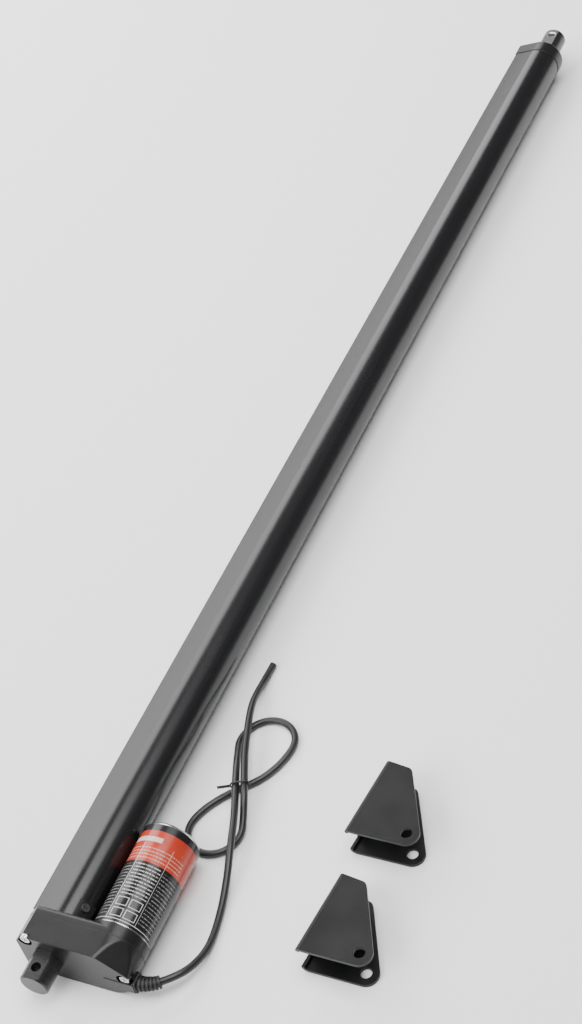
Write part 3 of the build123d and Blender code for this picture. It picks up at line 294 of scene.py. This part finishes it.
def printed_label():
    """A plain film round the motor: a colour band, rules, boxes and rows of dashes that mean nothing."""
    finish = Finish("printed_motor_film", (0.02, 0.02, 0.02), 0.24, 0.0)
    x, y, z = finish.axes((0.0, -0.039, 0.0))
    turn = finish.sums("ARCTAN2", z, y)
    round_it = finish.sums("MULTIPLY", turn, 0.01995)
    black, red = (0.008, 0.008, 0.009), (0.34, 0.022, 0.011)
    white = (0.66, 0.66, 0.64)
    band = between(finish, x, 0.0835, 0.1068)
    sheen = finish.noise(35.0, 2.0)
    warm = finish.blend(finish.spread(sheen, 0.0, 1.0), red, (0.46, 0.045, 0.018))
    base = finish.blend(band, black, warm)

    def zone(along, around):
        """One inside a patch of the film, given as its reach along and around it."""
        return finish.sums("MULTIPLY", between(finish, x, *along), between(finish, round_it, *around))

    # rows of fine dashes below the band, and a few pale ones inside it
    pitch = 0.0025
    rows = finish.sums("FRACT", finish.sums("MULTIPLY", x, 1.0 / pitch))
    row = between(finish, rows, 0.34, 0.60, 0.06)
    line = finish.sums("FLOOR", finish.sums("MULTIPLY", x, 1.0 / pitch))
    pair = finish.node("ShaderNodeCombineXYZ")
    finish.link(round_it, pair.inputs[0])
    finish.link(finish.sums("MULTIPLY", line, 0.37), pair.inputs[1])
    cells = finish.node("ShaderNodeTexNoise", noise_dimensions="2D")
    cells.inputs["Scale"].default_value = 1100.0
    cells.inputs["Detail"].default_value = 1.0
    finish.link(pair.outputs[0], cells.inputs["Vector"])
    dash = finish.spread(cells.outputs["Fac"], 0.0, 1.0, 0.44, 0.50)
    main_field = zone((0.0575, 0.0815), (0.0260, 0.0445))
    side_field = zone((0.0420, 0.0810), (0.0060, 0.0235))
    red_field = zone((0.0850, 0.0945), (0.0060, 0.0560))
    fields = finish.sums("MAXIMUM", main_field, finish.sums("MULTIPLY", side_field, 0.45))
    fields = finish.sums("MAXIMUM", fields, finish.sums("MULTIPLY", red_field, 0.55))
    far_field = zone((0.0420, 0.0810), (0.0465, 0.0600))
    fields = finish.sums("MAXIMUM", fields, finish.sums("MULTIPLY", far_field, 0.40))
    print_it = finish.sums("MULTIPLY", finish.sums("MULTIPLY", row, dash), fields)
    # a broad plain bar near the film's far end, thin rules, and four empty boxes
    bar = zone((0.0985, 0.1020), (0.0120, 0.0360))
    print_it = finish.sums("MAXIMUM", print_it, finish.sums("MULTIPLY", bar, 0.8))
    rule = zone((0.0400, 0.0404, 0.00008), (0.0030, 0.0600))
    rule = finish.sums("MAXIMUM", rule, zone((0.0400, 0.0975), (0.0246, 0.0249, 0.00006)))
    rule = finish.sums("MAXIMUM", rule, zone((0.0400, 0.0975), (0.0454, 0.0456, 0.00006)))
    for low, high in ((0.0420, 0.0480), (0.0500, 0.0560)):
        for start, stop in ((0.0265, 0.0345), (0.0360, 0.0440)):
            outer = zone((low, high), (start, stop))
            inner = zone((low + 0.0004, high - 0.0004), (start + 0.0004, stop - 0.0004))
            rule = finish.sums("MAXIMUM", rule, finish.sums("SUBTRACT", outer, inner))
    mark = finish.sums("MAXIMUM", print_it, rule)
    finish.colour(finish.blend(finish.sums("MULTIPLY", mark, 0.85), base, white))
    finish.rough(finish.spread(sheen, 0.19, 0.30))
    finish.coat(0.25, 0.16)
    finish.bump(finish.noise(90.0, 2.0), 0.05, 0.0002)
    finish.shader.inputs["Specular IOR Level"].default_value = 0.35
    return finish.material


def rubber(name, tone, rough):
    """Matt rubber with a fine grain and a slow change of tone."""
    finish = Finish(name, tone, rough, 0.0)
    grain = finish.noise(1500.0, 4.0)
    cloud = finish.noise(45.0, 3.0)
    lighter = tuple(t * 2.0 for t in tone)
    finish.colour(finish.blend(finish.spread(cloud, 0.0, 1.0), tone, lighter))
    finish.rough(finish.spread(grain, rough - 0.06, rough + 0.06))
    finish.bump(grain, 0.14, 0.00010)
    return finish.material


def wound_copper():
    """Enamelled wire laid in turns."""
    finish = Finish("enamelled_copper", (0.50, 0.20, 0.08), 0.30, 0.8)
    wires = finish.node("ShaderNodeTexWave", bands_direction="Z")
    wires.inputs["Scale"].default_value = 700.0
    wires.inputs["Distortion"].default_value = 1.5
    finish.link(finish.place, wires.inputs["Vector"])
    finish.colour(finish.blend(wires.outputs["Fac"], (0.30, 0.11, 0.05), (0.62, 0.27, 0.12)))
    finish.bump(wires.outputs["Fac"], 0.5, 0.0003)
    return finish.material


def circuit_board():
    """Green board with slightly paler tracks along it."""
    finish = Finish("circuit_board_green", (0.02, 0.12, 0.05), 0.35, 0.0)
    x, y, z = finish.axes()
    track = finish.sums("FRACT", finish.sums("MULTIPLY", z, 1.0 / 0.0032))
    copper = between(finish, track, 0.42, 0.62, 0.03)
    finish.colour(finish.blend(copper, (0.012, 0.085, 0.035), (0.03, 0.17, 0.07)))
    finish.rough(finish.spread(finish.noise(300.0), 0.3, 0.42))
    return finish.material


finishes = {}


def make_finishes():
    """One finish for each material slot of the record."""
    f = finishes
    on_screw_axis = (0.0, 0.0, 0.0)
    on_motor_axis = (0.0, -0.039, 0.0)
    f["black_anodised"] = drawn_black()
    f["black_diecast"] = cast_black()
    f["bracket_paint"] = bracket_paint()
    f["motor_label"] = printed_label()
    f["dark_steel"] = turned(
        "blackened_steel_eye", (0.010, 0.010, 0.0105), (0.020, 0.020, 0.020),
        0.28, 0.15, on_screw_axis)
    f["rod_aluminium"] = turned(
        "satin_aluminium_rod", (0.62, 0.62, 0.63), (0.75, 0.75, 0.76),
        0.30, 1.0, on_screw_axis)
    f["bright_steel"] = turned(
        "bright_turned_steel", (0.55, 0.55, 0.55), (0.70, 0.70, 0.69),
        0.26, 1.0, on_screw_axis)
    f["motor_steel"] = turned(
        "drawn_motor_steel", (0.56, 0.56, 0.55), (0.70, 0.70, 0.68),
        0.25, 1.0, on_motor_axis, ring=500.0)
    f["black_screw"] = speckled(
        "black_oxide_screw", (0.10, 0.10, 0.102), (0.20, 0.20, 0.205),
        0.28, 0.9, 1500.0, 0.1)
    f["spring_steel"] = speckled(
        "blued_spring_steel", (0.10, 0.10, 0.11), (0.17, 0.17, 0.18),
        0.32, 0.9, 900.0, 0.08)
    f["bearing_steel"] = speckled(
        "polished_bearing_steel", (0.60, 0.60, 0.61), (0.68, 0.68, 0.69),
        0.14, 1.0, 500.0, 0.03)
    f["white_nylon"] = speckled(
        "moulded_nylon", (0.72, 0.70, 0.64), (0.80, 0.78, 0.72),
        0.42, 0.0, 700.0, 0.10)
    f["black_plastic"] = speckled(
        "moulded_black_plastic", (0.008, 0.008, 0.008), (0.014, 0.014, 0.0145),
        0.40, 0.0, 1300.0, 0.16)
    f["bronze"] = speckled(
        "sintered_bronze", (0.42, 0.27, 0.12), (0.55, 0.37, 0.18),
        0.38, 1.0, 1800.0, 0.25)
    f["black_rubber"] = rubber("black_rubber", (0.007, 0.007, 0.007), 0.58)
    f["cable_jacket"] = rubber("black_cable_jacket", (0.006, 0.006, 0.006), 0.40)
    f["ferrite"] = speckled(
        "ferrite_magnet", (0.05, 0.05, 0.055), (0.09, 0.09, 0.095),
        0.55, 0.1, 1200.0, 0.3)
    f["copper"] = wound_copper()
    f["carbon"] = speckled(
        "carbon_brush", (0.02, 0.02, 0.02), (0.05, 0.05, 0.05),
        0.6, 0.0, 2200.0, 0.3)
    f["circuit_board"] = circuit_board()


def dress_frame():
    """Every CAD node takes the finish of its slot."""
    slots = {p["node"]: p["material_slot"] for p in frame["record"]["subparts"]}
    for name, node in frame["nodes"].items():
        node.data.materials.clear()
        node.data.materials.append(finishes[slots[name]])


def body_holding(name):
    """The moving body that a frame part belongs to."""
    for body, nodes in frame["record"]["behaviour"]["bodies"].items():
        if name in nodes:
            return body


def eased(name, width, finish=None):
    """A copy of a frame part with its sharp edges rounded over, as a file and polish leave them."""
    slot = {p["node"]: p["material_slot"] for p in frame["record"]["subparts"]}[name]
    bpy.ops.object.select_all(action="DESELECT")
    piece = frame["nodes"][name].copy()
    piece.data = piece.data.copy()
    piece.name = name + "_eased"
    piece.parent = None
    piece.matrix_world = Matrix.Identity(4)
    bpy.context.scene.collection.objects.link(piece)
    bpy.context.view_layer.objects.active = piece
    piece.select_set(True)
    bpy.ops.object.mode_set(mode="EDIT")
    bpy.ops.mesh.select_all(action="SELECT")
    bpy.ops.mesh.customdata_custom_splitnormals_clear()
    bpy.ops.mesh.remove_doubles(threshold=0.000002)
    bpy.ops.mesh.dissolve_limited(angle_limit=radians(0.4))
    bpy.ops.object.mode_set(mode="OBJECT")
    bevel = piece.modifiers.new("eased_edges", "BEVEL")
    bevel.width = width
    bevel.segments = 2
    bevel.limit_method = "ANGLE"
    bevel.angle_limit = radians(28.0)
    bevel.use_clamp_overlap = True
    bpy.ops.object.modifier_apply(modifier="eased_edges")
    bpy.ops.object.shade_smooth_by_angle(angle=radians(40.0))
    flats = piece.modifiers.new("flats_stay_flat", "WEIGHTED_NORMAL")
    flats.weight = 100
    flats.keep_sharp = True
    bpy.ops.object.modifier_apply(modifier="flats_stay_flat")
    piece.data.materials.clear()
    piece.data.materials.append(finish or finishes[slot])
    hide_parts(name)
    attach(piece, body_holding(name))
    return piece


# ---------------------------------------------------------------------------
# Cable
# ---------------------------------------------------------------------------

LIE = -17.5          # a cable resting on the floor, mm
OVER = -7.5          # a cable lying over another one, mm
CABLE_R = 2.5 * MM

TIE_HEADING = radians(23.9)
TIE_MIDDLE = Vector((170.0, -59.78, OVER)) * MM
STRAND_OFFSET = 3.05 * MM
TIE_WIRE_R = 0.62 * MM
TIE_SLACK = 0.25 * MM
TWIST_STEPS = 26
TWIST_STEP = 0.34 * MM
TWIST_TURN = radians(34.0)
TWIST_OFFSET = 0.6 * MM

CABLE_ROUTE = [
    (21.1, -73.4, -8.0), (27.5, -81.6, -8.0), (40.0, -86.8, -12.3), (58.0, -88.2, LIE),
    (84.0, -83.8, LIE), (106.0, -78.8, -13.5), (124.0, -74.0, OVER), (146.0, -67.0, OVER),
    (178.0, -53.0, OVER), (195.5, -45.0, -12.5), (211.5, -37.8, LIE), (226.7, -44.1, LIE),
    (233.3, -57.9, LIE), (228.3, -72.3, LIE), (214.7, -79.2, LIE), (187.0, -70.8, LIE),
    (168.5, -50.8, LIE), (152.0, -38.9, LIE), (137.0, -34.2, LIE), (124.2, -39.6, LIE),
    (118.2, -53.0, LIE), (123.3, -66.8, LIE), (137.5, -73.3, LIE), (151.5, -69.4, -14.2),
    (163.0, -66.2, OVER), (182.0, -57.6, OVER), (199.0, -50.4, OVER), (231.0, -39.9, OVER),
    (247.5, -36.2, -12.5), (264.0, -34.3, LIE), (277.0, -34.6, LIE),
]


def lay_cable():
    """The power cable on one smooth line, from the boot to its cut end."""
    data = bpy.data.curves.new("power_cable_line", "CURVE")
    data.dimensions = "3D"
    line = data.splines.new("NURBS")
    line.points.add(len(CABLE_ROUTE) - 1)
    for point, place in zip(line.points, CABLE_ROUTE):
        point.co = (*(v * MM for v in place), 1.0)
    line.order_u = 3
    line.use_endpoint_u = True
    line.resolution_u = 10
    data.bevel_depth = CABLE_R
    data.bevel_resolution = 7
    data.use_fill_caps = True
    data.materials.append(finishes["cable_jacket"])
    cable = bpy.data.objects.new("cable_run", data)
    bpy.context.scene.collection.objects.link(cable)
    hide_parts("power_cable")
    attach(cable, "housing")
    return cable


# ---------------------------------------------------------------------------
# Twist tie
# ---------------------------------------------------------------------------

def wrap_tie():
    """A coated wire drawn round the two strands, its ends twisted together."""
    along = Vector((cos(TIE_HEADING), sin(TIE_HEADING), 0.0))
    across = Vector((-sin(TIE_HEADING), cos(TIE_HEADING), 0.0))
    ring_r = CABLE_R + TIE_SLACK + TIE_WIRE_R
    stand = Matrix((across, Vector((0.0, 0.0, 1.0)), along)).transposed().to_4x4()
    stand.translation = TIE_MIDDLE

    # a ring, pulled apart in the middle so that it goes round both strands
    bpy.ops.object.select_all(action="DESELECT")
    bpy.ops.mesh.primitive_torus_add(
        major_radius=ring_r, minor_radius=TIE_WIRE_R, major_segments=56, minor_segments=14)
    tie = bpy.context.active_object
    tie.name = "wire_tie"
    for side in (1, -1):
        bpy.ops.object.mode_set(mode="EDIT")
        bpy.ops.mesh.select_all(action="DESELECT")
        bpy.ops.object.mode_set(mode="OBJECT")
        for corner in tie.data.vertices:
            corner.select = corner.co.x * side > 0.00001 * side
        bpy.ops.object.mode_set(mode="EDIT")
        bpy.ops.transform.translate(value=(STRAND_OFFSET * side, 0.0, 0.0))
        bpy.ops.object.mode_set(mode="OBJECT")
    bpy.context.view_layer.update()

    # the two ends cross where they leave the ring, and wind round each other
    twists = []
    tail_start = STRAND_OFFSET + ring_r + 0.1 * MM
    for side in (1, -1):
        bpy.ops.object.select_all(action="DESELECT")
        bpy.ops.mesh.primitive_circle_add(
            vertices=12, radius=TIE_WIRE_R, fill_type="NGON",
            location=(tail_start, TWIST_OFFSET * side, 0.0), rotation=(0.0, pi / 2, 0.0))
        end = bpy.context.active_object
        bpy.ops.object.transform_apply(location=True, rotation=True, scale=True)
        bpy.ops.object.mode_set(mode="EDIT")
        bpy.ops.mesh.select_all(action="SELECT")
        for _ in range(TWIST_STEPS):
            bpy.ops.mesh.extrude_region_move(
                TRANSFORM_OT_translate={"value": (TWIST_STEP, 0.0, 0.0)})
            bpy.ops.transform.rotate(
                value=TWIST_TURN, orient_axis="X", center_override=(tail_start, 0.0, 0.0))
        bpy.ops.mesh.select_all(action="SELECT")
        bpy.ops.mesh.normals_make_consistent(inside=False)
        bpy.ops.object.mode_set(mode="OBJECT")
        twists.append(end)
    bpy.ops.object.select_all(action="DESELECT")
    for piece in (tie, *twists):
        piece.select_set(True)
    bpy.context.view_layer.objects.active = tie
    bpy.ops.object.join()
    tie.data.transform(stand)
    bpy.ops.object.shade_smooth_by_angle(angle=radians(50.0))
    tie.data.materials.append(finishes["black_plastic"])
    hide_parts("twist_tie")
    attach(tie, "housing")
    return tie


make_finishes()
set_camera()
set_stage()
dress_frame()
cable = lay_cable()
tie = wrap_tie()
for part_name in ("gearbox_front_case", "front_cap"):
    eased(part_name, 0.0004)
for part_name in ("rear_eye", "case_screws", "tube_screws"):
    eased(part_name, 0.00025)
eased("front_eye", 0.00025, finish=eye_with_bright_bore())
for part_name in ("mounting_bracket_1", "mounting_bracket_2"):
    eased(part_name, 0.00035)
